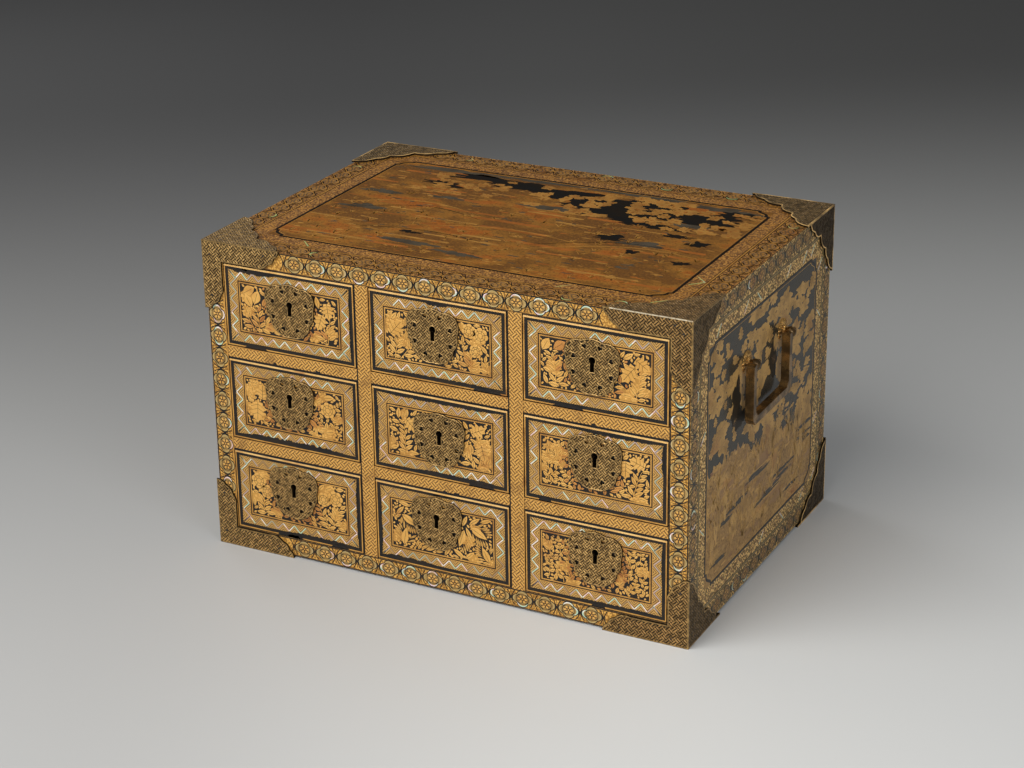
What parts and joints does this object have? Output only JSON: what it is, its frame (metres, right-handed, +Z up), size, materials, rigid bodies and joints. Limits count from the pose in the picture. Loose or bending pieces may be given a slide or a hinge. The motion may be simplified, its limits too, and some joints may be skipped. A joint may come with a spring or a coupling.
{
  "type": "lacquer cabinet",
  "caption": "Table cabinet in gold and black lacquer with a grid of locking drawers, gilt corner mounts and a swinging bail handle on each side.",
  "frame": {"origin": "on the surface that the cabinet stands on, under the middle of its box", "axes": "+Z up, +X to the right of someone facing the drawers, -Y out of the drawer side"},
  "size_m": [0.461, 0.306, 0.277],
  "materials": {
    "gold_lacquer": "gloss",
    "black_lacquer": "gloss",
    "inner_lacquer": "satin",
    "gilt_copper": "engraved, worn gilt",
    "dark_iron": "matte"
  },
  "bodies": {
    "carcass": {"top_panel": "gold_lacquer", "bottom_panel": "black_lacquer", "left_side_panel": "gold_lacquer", "right_side_panel": "gold_lacquer", "back_panel": "black_lacquer", "left_divider": "gold_lacquer", "right_divider": "gold_lacquer", "upper_shelf": "gold_lacquer", "lower_shelf": "gold_lacquer", "top_front_left_mount": "gilt_copper", "top_front_right_mount": "gilt_copper", "top_rear_left_mount": "gilt_copper", "top_rear_right_mount": "gilt_copper", "base_front_left_mount": "gilt_copper", "base_front_right_mount": "gilt_copper", "base_rear_left_mount": "gilt_copper", "base_rear_right_mount": "gilt_copper", "left_front_handle_post": "gilt_copper", "left_rear_handle_post": "gilt_copper", "right_front_handle_post": "gilt_copper", "right_rear_handle_post": "gilt_copper"},
    "upper_left_drawer": {"upper_left_drawer_front": "gold_lacquer", "upper_left_tray": "inner_lacquer", "upper_left_lock": "gilt_copper"},
    "upper_left_bolt": {"upper_left_lock_bolt": "dark_iron"},
    "upper_centre_drawer": {"upper_centre_drawer_front": "gold_lacquer", "upper_centre_tray": "inner_lacquer", "upper_centre_lock": "gilt_copper"},
    "upper_centre_bolt": {"upper_centre_lock_bolt": "dark_iron"},
    "upper_right_drawer": {"upper_right_drawer_front": "gold_lacquer", "upper_right_tray": "inner_lacquer", "upper_right_lock": "gilt_copper"},
    "upper_right_bolt": {"upper_right_lock_bolt": "dark_iron"},
    "middle_left_drawer": {"middle_left_drawer_front": "gold_lacquer", "middle_left_tray": "inner_lacquer", "middle_left_lock": "gilt_copper"},
    "middle_left_bolt": {"middle_left_lock_bolt": "dark_iron"},
    "middle_centre_drawer": {"middle_centre_drawer_front": "gold_lacquer", "middle_centre_tray": "inner_lacquer", "middle_centre_lock": "gilt_copper"},
    "middle_centre_bolt": {"middle_centre_lock_bolt": "dark_iron"},
    "middle_right_drawer": {"middle_right_drawer_front": "gold_lacquer", "middle_right_tray": "inner_lacquer", "middle_right_lock": "gilt_copper"},
    "middle_right_bolt": {"middle_right_lock_bolt": "dark_iron"},
    "lower_left_drawer": {"lower_left_drawer_front": "gold_lacquer", "lower_left_tray": "inner_lacquer", "lower_left_lock": "gilt_copper"},
    "lower_left_bolt": {"lower_left_lock_bolt": "dark_iron"},
    "lower_centre_drawer": {"lower_centre_drawer_front": "gold_lacquer", "lower_centre_tray": "inner_lacquer", "lower_centre_lock": "gilt_copper"},
    "lower_centre_bolt": {"lower_centre_lock_bolt": "dark_iron"},
    "lower_right_drawer": {"lower_right_drawer_front": "gold_lacquer", "lower_right_tray": "inner_lacquer", "lower_right_lock": "gilt_copper"},
    "lower_right_bolt": {"lower_right_lock_bolt": "dark_iron"},
    "left_bail": {"left_bail": "gilt_copper"},
    "right_bail": {"right_bail": "gilt_copper"}
  },
  "joints": [
    {"name": "upper_left_drawer_slide", "type": "slide", "parent": "carcass", "child": "upper_left_drawer", "axis": [0, -1, 0], "range_m": [0, 0.22]},
    {"name": "upper_left_bolt_slide", "type": "slide", "parent": "upper_left_drawer", "child": "upper_left_bolt", "axis": [0, 0, 1], "range_m": [0, 0.005]},
    {"name": "upper_centre_drawer_slide", "type": "slide", "parent": "carcass", "child": "upper_centre_drawer", "axis": [0, -1, 0], "range_m": [0, 0.22]},
    {"name": "upper_centre_bolt_slide", "type": "slide", "parent": "upper_centre_drawer", "child": "upper_centre_bolt", "axis": [0, 0, 1], "range_m": [0, 0.005]},
    {"name": "upper_right_drawer_slide", "type": "slide", "parent": "carcass", "child": "upper_right_drawer", "axis": [0, -1, 0], "range_m": [0, 0.22]},
    {"name": "upper_right_bolt_slide", "type": "slide", "parent": "upper_right_drawer", "child": "upper_right_bolt", "axis": [0, 0, 1], "range_m": [0, 0.005]},
    {"name": "middle_left_drawer_slide", "type": "slide", "parent": "carcass", "child": "middle_left_drawer", "axis": [0, -1, 0], "range_m": [0, 0.22]},
    {"name": "middle_left_bolt_slide", "type": "slide", "parent": "middle_left_drawer", "child": "middle_left_bolt", "axis": [0, 0, 1], "range_m": [0, 0.005]},
    {"name": "middle_centre_drawer_slide", "type": "slide", "parent": "carcass", "child": "middle_centre_drawer", "axis": [0, -1, 0], "range_m": [0, 0.22]},
    {"name": "middle_centre_bolt_slide", "type": "slide", "parent": "middle_centre_drawer", "child": "middle_centre_bolt", "axis": [0, 0, 1], "range_m": [0, 0.005]},
    {"name": "middle_right_drawer_slide", "type": "slide", "parent": "carcass", "child": "middle_right_drawer", "axis": [0, -1, 0], "range_m": [0, 0.22]},
    {"name": "middle_right_bolt_slide", "type": "slide", "parent": "middle_right_drawer", "child": "middle_right_bolt", "axis": [0, 0, 1], "range_m": [0, 0.005]},
    {"name": "lower_left_drawer_slide", "type": "slide", "parent": "carcass", "child": "lower_left_drawer", "axis": [0, -1, 0], "range_m": [0, 0.22]},
    {"name": "lower_left_bolt_slide", "type": "slide", "parent": "lower_left_drawer", "child": "lower_left_bolt", "axis": [0, 0, 1], "range_m": [0, 0.005]},
    {"name": "lower_centre_drawer_slide", "type": "slide", "parent": "carcass", "child": "lower_centre_drawer", "axis": [0, -1, 0], "range_m": [0, 0.22]},
    {"name": "lower_centre_bolt_slide", "type": "slide", "parent": "lower_centre_drawer", "child": "lower_centre_bolt", "axis": [0, 0, 1], "range_m": [0, 0.005]},
    {"name": "lower_right_drawer_slide", "type": "slide", "parent": "carcass", "child": "lower_right_drawer", "axis": [0, -1, 0], "range_m": [0, 0.22]},
    {"name": "lower_right_bolt_slide", "type": "slide", "parent": "lower_right_drawer", "child": "lower_right_bolt", "axis": [0, 0, 1], "range_m": [0, 0.005]},
    {"name": "left_bail_hinge", "type": "hinge", "parent": "carcass", "child": "left_bail", "pos_m": [-0.2258, 0, 0.2015], "axis": [0, 1, 0], "range_deg": [-4, 180]},
    {"name": "right_bail_hinge", "type": "hinge", "parent": "carcass", "child": "right_bail", "pos_m": [0.2258, 0, 0.2015], "axis": [0, -1, 0], "range_deg": [-4, 180]}
  ]
}
